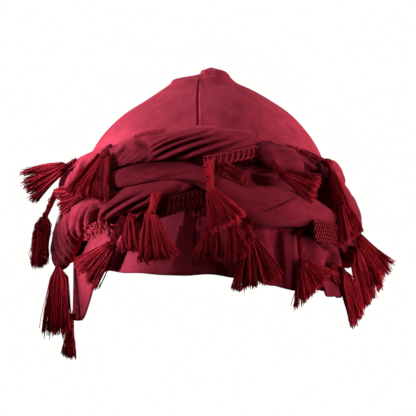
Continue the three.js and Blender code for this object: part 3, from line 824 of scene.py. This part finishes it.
def make_tail():
    angle = np.linspace(TAIL["angle"][0], TAIL["angle"][-1], TAIL_STEPS)[None, :]
    share = np.linspace(0, 1, TAIL_LEVELS)[:, None]
    level, _, tall, _ = section(strands["middle"], angle)
    bottom = tail["bottom"](angle) + ripples("tail_edge", angle)
    height = bottom + (level - TAIL_TUCK * tall - bottom) * share
    sway = np.sin(np.pi * share) * ripples("tail_sway", angle, SWAY_TURN * share)
    swell = np.maximum(tail["out"](angle + sway), 0.0) * (1.0 - TAIL_FLATTER * share)
    out = SEAT_GAP + swell + TAIL_LOOSE + ripples("tail_crumple", angle, CRUMPLE_TURN * share)
    angle = np.broadcast_to(angle, height.shape)
    seen = wrap_point(angle, height, out + TAIL_WALL)
    sharp, shade = creased("tail", seen, angle, np.abs(angle) < 90)
    out = np.maximum(out - sharp, SEAT_GAP)
    for strand in strands.values():
        level, off, tall, deep = section(strand, angle)
        rise = (height - level) / (tall + PIECE_GAP)
        back = off - deep * np.sqrt(np.clip(1 - rise ** 2, 0, 1))
        limit = np.maximum(back - PIECE_GAP - TAIL_WALL, SEAT_GAP)
        out = np.where(np.abs(rise) < 1, np.minimum(out, limit), out)
    inside = wrap_point(angle, height, out)
    outside = wrap_point(angle, height, out + TAIL_WALL)
    skins = np.concatenate([inside, outside[::-1]])
    rows = len(skins)
    faces, corner_rows, corner_columns = grid_faces(rows, TAIL_STEPS, wraps_rows=True)
    ends = []
    for column in (0, TAIL_STEPS - 1):
        for step in range(TAIL_LEVELS - 1):
            quad = [step, step + 1, rows - 2 - step, rows - 1 - step]
            quad = [row * TAIL_STEPS + column for row in quad]
            ends.append(quad if column == 0 else quad[::-1])
    weave = np.stack([corner_columns / TAIL_STEPS, corner_rows / rows], axis=-1).reshape(-1, 2)
    weave = np.concatenate([weave * np.array(TAIL_WEAVE) * MM, np.zeros((4 * len(ends), 2))])
    # Painted shade on the outer face only, darker in its sharp folds
    shade = np.concatenate([0 * shade, shade[::-1]]).reshape(-1)
    faces = faces.tolist() + ends
    piece = new_piece("scarf_end", skins.reshape(-1, 3), faces, SCARF_CLOTH, weave, shade)
    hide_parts("scarf_tail")


# Yarn and net

def pushed_out(points, gap):
    """Points moved out of the strands, away from the head."""
    angle, height, out = unwrap_point(points)
    for strand in strands.values():
        level, off, tall, deep = section(strand, angle)
        rise = (height - level) / (tall + gap)
        bulge = np.sqrt(np.clip(1 - rise ** 2, 0, 1)) * (deep + gap)
        inside = (np.abs(rise) < 1) & (np.abs(out - off) < bulge)
        out = np.where(inside, off + bulge, out)
    return wrap_point(angle, height, np.maximum(out, gap))


def tassel_axes(knot, tip, facing):
    """The directions along a tassel, across its fan and through it, and its length."""
    length = np.linalg.norm(tip - knot)
    along = (tip - knot) / length
    turn = math.radians(facing)
    through = np.array([math.sin(turn), -math.cos(turn), 0.0])
    through = unit(through - along * (through @ along))
    return np.array([along, np.cross(along, through), through]), length


def along_axes(origin, axes, *distances):
    """Points at distances from an origin along a tassel, across its fan and through it."""
    return origin + np.stack(np.broadcast_arrays(*distances), axis=-1) @ axes


YARN_RADIUS = 0.22
YARN_TAPER = (1.05, 0.9)  # shares of that at the knot and at the cut end
YARN_STEPS = 7
YARN_SIDES = 3
YARN_GAP = 0.5  # between the yarn and the strands
TASSEL_SEED = 500
THREADS = 140  # in a tassel, and for each millimetre of its width
THREADS_A_MM = 13
LOCK_PITCH = 1.2  # between neighbouring locks of yarn at the cut ends
LOCK_SHIFT = 0.6  # how far a lock lies out of its row, as a share of half the pitch
# Locks and the threads in them: how deep they spread, the mean and spread of their length, their
# least and most bend to a side, and the radians of that bend
LOCK_DEPTH = 0.7
THREAD_DEPTH = 0.4
LOCK_REACH = (0.98, 0.035)
THREAD_REACH = (1.0, 0.03)
LOCK_BEND = (0.3, 1.5)
THREAD_BEND = (0.15, 0.8)
LOCK_TURN = 3.2
THREAD_TURN = 4.5
LOCK_TINT = 0.3
THREAD_TINT = (1.2, 2.0)  # two powers: more threads are dark than light
STRAYS = 0.07  # share of the threads that leave their lock
LOOSENESS = (3.0, 1.1)  # of strays, and of other threads
FURTHEST = 1.12  # most that a thread lies aside, in half widths
NARROW = 0.45  # half width of the yarn at the knot, in radii of the knot
FLARE = 0.16  # share of the fan's width that it has there
BELLY = 0.8  # how far the fan bulges to the front
CRIMPED = (4,)  # tassels whose yarn is crimped
CRIMP = 0.7
CRIMP_SHARES = (0.4, 1.0)
CRIMP_TURN = 26
# Tassels that are thick from the knot on, half their width there as a share of the fan's, and how
# soon they have it
ROPED = {4: 0.62, 5: 0.2, 19: 0.36, 20: 0.36, 21: 0.36}
GATHER = 12.0
# Painted shade and light: tassels whose yarn tint is lowered where they hang in shade, or raised
# where little light reaches them, by how much the tint changes
PAINTED_TASSEL_LIGHT_AND_SHADE = {1: -0.4, 2: -0.1, 3: -0.4, 7: -0.45, 8: 0.5, 10: 0.5, 14: -0.2, 15: -0.15, 22: -0.35}


def skirt_threads(draw, row, knot, axes, length, root, crimp):
    """Threads of a tassel, gathered in locks, from its knot to the cut ends, and their tints."""
    count = int(THREADS + THREADS_A_MM * row["width"])
    locks = max(4, round(row["width"] / LOCK_PITCH))
    lock = draw.integers(0, locks, count)
    lock_shift = draw.uniform(-LOCK_SHIFT, LOCK_SHIFT, locks) / locks
    lock_side = (np.arange(locks) + 0.5) / locks * 2 - 1 + lock_shift
    lock_depth = draw.uniform(-1, 1, locks)
    lock_reach = draw.normal(*LOCK_REACH, locks)
    lock_bend = draw.uniform(*LOCK_BEND, (2, locks, 1))
    lock_wave = draw.uniform(0, 2 * np.pi, (2, locks, 1))
    loose = np.where(draw.random(count) < STRAYS, *LOOSENESS)
    side = np.clip(lock_side[lock] + loose * draw.normal(0, 1, count) / locks, -FURTHEST, FURTHEST)
    depth = np.clip(LOCK_DEPTH * lock_depth[lock] + draw.normal(0, THREAD_DEPTH, count), -1, 1)
    reach = length * lock_reach[lock] * draw.normal(*THREAD_REACH, count)
    t = np.linspace(0, 1, YARN_STEPS)[None, :]
    narrow = NARROW * row["radius"]
    gather = 1 - np.exp(-GATHER * t)
    flare = FLARE + (1 - FLARE) * t
    wide = narrow + (root - narrow) * gather + (0.5 * row["width"] - root) * flare
    deep = narrow + (0.5 * row["depth"] - narrow) * flare
    wave = draw.uniform(0, 2 * np.pi, (2, count, 1))
    bend = draw.uniform(*THREAD_BEND, (2, count, 1)) * t * np.sin(THREAD_TURN * t + wave)
    bend = bend + (lock_bend * t * np.sin(LOCK_TURN * t + lock_wave))[:, lock]
    bend = bend + crimp * draw.uniform(*CRIMP_SHARES, (2, count, 1)) * np.sin(CRIMP_TURN * t + wave)
    sideways = side[:, None] * wide + bend[0]
    inward = depth[:, None] * deep + bend[1] + BELLY * np.sin(np.pi * t)
    tint = draw.uniform(0.0, LOCK_TINT, locks)[lock] + draw.beta(*THREAD_TINT, count)
    paths = along_axes(knot, axes, reach[:, None] * t, sideways, inward)
    return paths, np.clip(tint, 0.02, 0.98)


CURL_STEPS = 14
CURL_TURN = 1.8 * np.pi


def curls(draw, middles, least, most):
    """Small loops of yarn about points, each turned its own way."""
    count = len(middles)
    sizes = draw.uniform(least, most, (count, 1, 1))
    start = draw.uniform(0, 2 * np.pi, (count, 1, 1))
    turn = start + np.linspace(0, CURL_TURN, CURL_STEPS)[None, :, None]
    first = unit(draw.normal(size=(count, 3)))
    other = unit(np.cross(first, draw.normal(size=(count, 3))))
    loops = np.cos(turn) * first[:, None, :] + np.sin(turn) * other[:, None, :]
    return middles[:, None, :] + sizes * loops


# Knots, in radii of the knot: the ends of the core, where its round form closes, its radius, and the
# loops of yarn on it: how far out they are, the least and the most of their size
KNOT_ROWS = 12
KNOT_SIDES = 14
CORE_ENDS = (-1.0, 1.25)
CORE_CLOSES = 1.35
CORE_RADIUS = 0.56
CORE_TINT = 0.1
CURLS = 20
CURLS_OUT = 0.62
CURL_SIZES = (0.24, 0.46)


def knot_core(row, knot, axes):
    """The tight middle of a tassel's knot."""
    s = np.linspace(*CORE_ENDS, KNOT_ROWS)[:, None]
    turn = np.linspace(0, 2 * np.pi, KNOT_SIDES, endpoint=False)[None, :]
    swell = np.sqrt(np.clip(1 - (np.abs(s) / CORE_CLOSES) ** 2, 0.02, 1))
    radius = CORE_RADIUS * row["radius"] * swell * (1 + 0.1 * np.cos(5 * turn + 6 * s))
    points = along_axes(knot, axes, s * row["radius"], radius * np.cos(turn), radius * np.sin(turn))
    faces, _, _ = grid_faces(KNOT_ROWS, KNOT_SIDES, wraps_columns=True)
    faces = faces.tolist()
    faces.append(list(range(KNOT_SIDES))[::-1])
    faces.append([(KNOT_ROWS - 1) * KNOT_SIDES + k for k in range(KNOT_SIDES)])
    return points.reshape(-1, 3), faces


def knot_curls(draw, row, knot, axes):
    """The loops of yarn all over a tassel's knot."""
    middles = knot + CURLS_OUT * row["radius"] * unit(draw.normal(size=(CURLS, 3))) @ axes
    return curls(draw, middles, *(size * row["radius"] for size in CURL_SIZES))


STRAP_STEPS = 16
NETTED = 2.5  # half width above which a strap is netted
STRAP_CORDS = {True: 8, False: 7}  # in a netted strap and in another one
STRAP_TURNS = {True: 2.2, False: 1.2}  # of its cords
STRAP_TAPER = 0.45  # share of its width that it loses on its way to the knot
STRAP_DEPTH = 0.8
LOOP_AREA = 5  # of the strap for each small loop on it
LOOP_SIZES = (0.7, 1.3)
LOOP_LIFT = 0.6


def strap_threads(draw, row, knot, neck, axes):
    """The twisted or netted cords above a tassel's knot, and the loops on them."""
    netted = row["strap"] > NETTED
    count = STRAP_CORDS[netted]
    t = np.linspace(0, 1, STRAP_STEPS)[None, :]
    phase = np.linspace(0, 2 * np.pi, count, endpoint=False)[:, None]
    turn = 2 * np.pi * STRAP_TURNS[netted] * t + phase
    sideways = (row["strap"] * (1 - STRAP_TAPER * t) + 0.2) * np.sin(turn)
    deep = STRAP_DEPTH * np.cos(turn) + draw.uniform(-0.2, 0.2, (count, 1))
    cords = along_axes(neck + (knot - neck) * t[0, :, None], axes, 0.0, sideways, deep)
    loops = max(3, round(np.linalg.norm(knot - neck) * row["strap"] / LOOP_AREA))
    middles = neck + (knot - neck) * draw.uniform(0, 1, (loops, 1))
    aside = draw.uniform(-0.8, 0.8, loops) * row["strap"]
    middles = along_axes(middles, axes, 0.0, aside, LOOP_LIFT)
    return cords, curls(draw, middles, *LOOP_SIZES)


# Cords on a tassel: their gap to the strands, radius, sides and tint
KNOT_LOOPS = (0.4, 0.4, 4, 0.45)
STRAP = (0.6, 0.42, 5, 0.35)
STRAP_LOOPS = (0.6, 0.4, 4, 0.4)


def tassel_cords(paths, gap, radius, sides, tint):
    return (*tubes(pushed_out(paths, gap), radius, sides), tint)


def make_tassel(number, row):
    name = f"tassel_{number:02d}"
    draw = np.random.default_rng(TASSEL_SEED + number)
    knot = wrap_point(*np.array(row["knot"], float))
    tip = wrap_point(*np.array(row["tip"], float))
    axes, length = tassel_axes(knot, tip, row["facing"])
    root = ROPED[number] * row["width"] if number in ROPED else NARROW * row["radius"]
    crimp = CRIMP if number in CRIMPED else 0.0
    paths, tints = skirt_threads(draw, row, knot, axes, length, root, crimp)
    thickness = YARN_RADIUS * np.linspace(*YARN_TAPER, YARN_STEPS)[None, :]
    points, faces = tubes(pushed_out(paths, YARN_GAP), thickness, YARN_SIDES)
    parts = [(points, faces, np.repeat(tints, YARN_STEPS * YARN_SIDES))]
    parts.append((*knot_core(row, knot, axes), CORE_TINT))
    if number not in ROPED:
        parts.append(tassel_cords(knot_curls(draw, row, knot, axes), *KNOT_LOOPS))
    if "neck" in row:
        neck = wrap_point(*np.array(row["neck"], float))
        cords, loops = strap_threads(draw, row, knot, neck, axes)
        parts.append(tassel_cords(cords, *STRAP))
        parts.append(tassel_cords(loops, *STRAP_LOOPS))
    points, faces, tint = joined(parts)
    # Painted shade and light: some tassels' yarn is made darker or lighter
    tint = np.maximum(tint + PAINTED_TASSEL_LIGHT_AND_SHADE.get(number, 0.0), 0.0)
    piece = new_piece("yarn_" + name, points, faces, TASSEL_YARN, tint=tint)
    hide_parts(name)


CORD_SIDES = 5
CORD_STEPS_A_MESH = 12
CORD_SEAT = 0.5  # from a strand to the middle of a net's cord
LEAST_OUT = 1.0  # from the cap
NET_MIDDLE = (40.0, 10.0)  # height and distance where its length is measured
STITCH_STEPS = 5
STITCH_LIFT = 0.5
STITCH_ARCH = 0.3
BACKING = (0.25, 0.75)  # where dark cords run behind a row of stitches, as shares of it
BACKING_LIFT = -0.2
BACKING_RADIUS = 0.275  # as a share of a row's height
KNOTS_SEED = 700
SMALL_KNOTS = 90
SMALL_KNOT_SIZES = (0.5, 1.1)
SMALL_KNOT_LIFTS = (-2.0, 0.5)


def net_place(row, angle, down, lift):
    """A point of a net: down goes from 0 at the strand to 1 at the net's free edge."""
    level, off, tall, deep = section(strands[row["strand"]], angle)
    place = np.radians(row["place"] + row["wrap"] * down)
    height = level + (tall + CORD_SEAT) * np.sin(place) - row["hang"] * down
    out = off + (deep + CORD_SEAT) * np.cos(place)
    return wrap_point(angle, height, np.maximum(out + lift, LEAST_OUT))


def looped_rows(row, mesh_angle, meshes, angle):
    """Cords that loop down and up again all along the net, one row below the other."""
    turn = np.linspace(0, 2 * np.pi * meshes, len(angle))
    swing = row["swing"] * mesh_angle * np.sin(turn)
    paths = []
    for level in range(row["rows"]):
        down = (level + 0.5 + 0.5 * np.cos(turn)) / row["rows"]
        paths.append(net_place(row, angle + swing, down, row["cord"] * np.sin(turn)))
    paths.append(net_place(row, angle, 0 * angle, 0.0))
    return [(*tubes(paths, row["cord"], CORD_SIDES), row["tint"])]


def stitched_rows(row, mesh_angle, meshes, angle):
    """Short slanted stitches in rows, before dark cords that run along the net."""
    starts = row["first"] + mesh_angle * np.arange(meshes)[:, None]
    t = np.linspace(0, 1, STITCH_STEPS)[None, :]
    stitches, cords = [], []
    for level in range(row["rows"]):
        shift = 0.5 * (level % 2)
        stitch_angle = starts + mesh_angle * (shift + row["swing"] * t)
        down = (level + 0.9 - 0.8 * t) / row["rows"] + 0 * starts
        lift = STITCH_LIFT + STITCH_ARCH * np.sin(np.pi * t)
        stitches.append(net_place(row, stitch_angle, down, lift))
        for share in BACKING:
            down = np.full_like(angle, (level + share) / row["rows"])
            cords.append(net_place(row, angle, down, BACKING_LIFT))
    backing = BACKING_RADIUS * row["hang"] / row["rows"]
    return [
        (*tubes(np.concatenate(stitches), row["cord"], CORD_SIDES), row["tint"]),
        (*tubes(cords, backing, CORD_SIDES), 0.0),
    ]


def small_knots(row):
    """Small loops of cord thrown together all over a net."""
    draw = np.random.default_rng(KNOTS_SEED)
    angle = draw.uniform(row["first"], row["last"], SMALL_KNOTS)
    down = draw.uniform(0, 1, SMALL_KNOTS)
    middles = net_place(row, angle, down, draw.uniform(*SMALL_KNOT_LIFTS, SMALL_KNOTS))
    loops = curls(draw, middles, *SMALL_KNOT_SIZES)
    return [(*tubes(loops, row["cord"], CORD_SIDES), row["tint"])]


def make_net(row):
    wide = row["last"] - row["first"]
    middle = wrap_point(np.float64(row["first"] + wide / 2), *np.array(NET_MIDDLE))
    meshes = max(3, round(math.radians(wide) * np.linalg.norm(middle[:2]) / row["mesh"]))
    angle = row["first"] + wide * np.linspace(0, 1, meshes * CORD_STEPS_A_MESH + 1)
    if row["name"] == KNOTTED:
        parts = small_knots(row)
    else:
        make_rows = stitched_rows if row["name"] == STITCHED else looped_rows
        parts = make_rows(row, wide / meshes, meshes, angle)
    points, faces, tint = joined(parts)
    piece = new_piece("cord_" + row["name"], points, faces, NET_CORD, tint=tint)
    if row["name"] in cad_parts:
        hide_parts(row["name"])


# The stage

def make_camera():
    back = Vector(CAMERA_BACK)
    data = bpy.data.cameras.new("camera")
    data.sensor_width = SENSOR_WIDTH
    data.lens = SENSOR_WIDTH * CAMERA_DISTANCE / VIEW_WIDTH
    camera = new_object("camera", data)
    camera.location = Vector(CAMERA_TARGET * MM) + back * (CAMERA_DISTANCE * MM)
    camera.rotation_euler = (-back).to_track_quat("-Z", "Y").to_euler()
    bpy.context.scene.camera = camera


# Lights, in metres and watts. Narrow ones: where each stands and aims, its size, its power, the
# width of its cone in degrees, and its colour
WHITE = (1.0, 1.0, 1.0)
COOL = (0.78, 1.0, 1.0)
NARROW_LIGHTS = records("name place aim size power cone colour", [
    ("cap_left", (-1.12, 0.1, 0.5), (0.0, -0.006, 0.092), 0.015, 108.0, 8.8, COOL),
    ("cap_right", (1.12, 0.1, 0.5), (0.0, -0.006, 0.092), 0.015, 35.0, 8.8, WHITE),
    ("folds_front", (-0.76, -0.5, 0.93), (-0.015, -0.098, 0.084), 0.012, 20.0, 3.0, WHITE),
    ("folds_left", (-1.03, -0.66, 0.45), (-0.056, -0.094, 0.04), 0.02, 38.0, 3.4, COOL),
    ("bundle_left", (-1.12, -0.66, -0.08), (-0.081, -0.07, 0.008), 0.015, 107.0, 3.7, COOL),
    ("shoulder_left", (-1.15, -0.34, 0.56), (-0.082, -0.05, 0.06), 0.02, 138.0, 2.8, COOL),
    ("lobe_right", (0.95, -0.86, 0.25), (0.042, -0.105, 0.042), 0.03, 15.0, 3.6, WHITE),
])
CONE_BLEND = 0.35  # how soft the edge of a narrow light is
# Soft ones, which aim at one place: where each stands, its size and its power
SOFT_AIM = (0.0, 0.0, 0.03)
SOFT_LIGHTS = records("name place size power", [
    ("left", (-1.17, 0.18, -0.2), 0.4, 2.4),
    ("left_front", (-1.06, -0.39, 0.44), 0.4, 2.4),
    ("right", (1.13, 0.3, -0.22), 0.4, 8.5),
    ("right_front", (1.09, -0.42, -0.22), 0.4, 5.0),
    ("right_top", (0.98, 0.26, 0.68), 0.4, 2.2),
    ("top_front", (-0.19, -0.53, 1.09), 0.4, 1.2),
    ("back_left", (-0.8, 0.85, 0.4), 0.5, 5.2),
    ("back", (0.1, 1.1, 0.5), 0.5, 4.4),
    ("back_right", (0.8, 0.85, 0.4), 0.5, 4.0),
])


def new_light(row, kind, aim):
    data = bpy.data.lights.new(row["name"], kind)
    data.energy = row["power"]
    light = new_object(row["name"], data)
    light.location = row["place"]
    light.rotation_euler = (Vector(aim) - light.location).to_track_quat("-Z", "Y").to_euler()
    return data


def make_lights():
    for row in NARROW_LIGHTS:
        data = new_light(row, "SPOT", row["aim"])
        data.spot_size = math.radians(row["cone"])
        data.spot_blend = CONE_BLEND
        data.shadow_soft_size = row["size"]
        data.color = row["colour"]
    for row in SOFT_LIGHTS:
        new_light(row, "AREA", SOFT_AIM).size = row["size"]


def make_floor():
    turn = 2 * np.pi * np.arange(FLOOR_SIDES) / FLOOR_SIDES
    points = np.stack([np.cos(turn), np.sin(turn), 0 * turn], axis=-1) * FLOOR_RADIUS
    points[:, 2] = -FLOOR_DROP
    paint, tree, shader = new_material("floor paint")
    set_inputs(tree, shader, {"Base Color": (0.9, 0.9, 0.89, 1.0), "Roughness": 0.9})
    mesh = new_mesh("floor", points, [range(FLOOR_SIDES)], paint)
    floor = new_object("floor", mesh)
    floor.visible_diffuse = False
    floor.visible_glossy = False


def make_surroundings():
    world = bpy.data.worlds.new("studio")
    bpy.context.scene.world = world
    world.use_nodes = True
    background = world.node_tree.nodes["Background"]
    set_inputs(world.node_tree, background, {"Color": (1.0, 1.0, 0.99, 1.0), "Strength": 1.0})
    world.cycles_visibility.diffuse = False
    world.cycles_visibility.glossy = False
    bpy.context.scene.view_settings.view_transform = "Standard"


make_camera()
make_lights()
make_floor()
make_surroundings()
make_cap()
make_strand("lower", 100, [])
make_strand("middle", 200, ["lower"])
make_strand("upper", 300, ["lower", "middle"])
make_tail()
for number, row in enumerate(TASSELS, start=1):
    make_tassel(number, row)
for row in NETS:
    make_net(row)
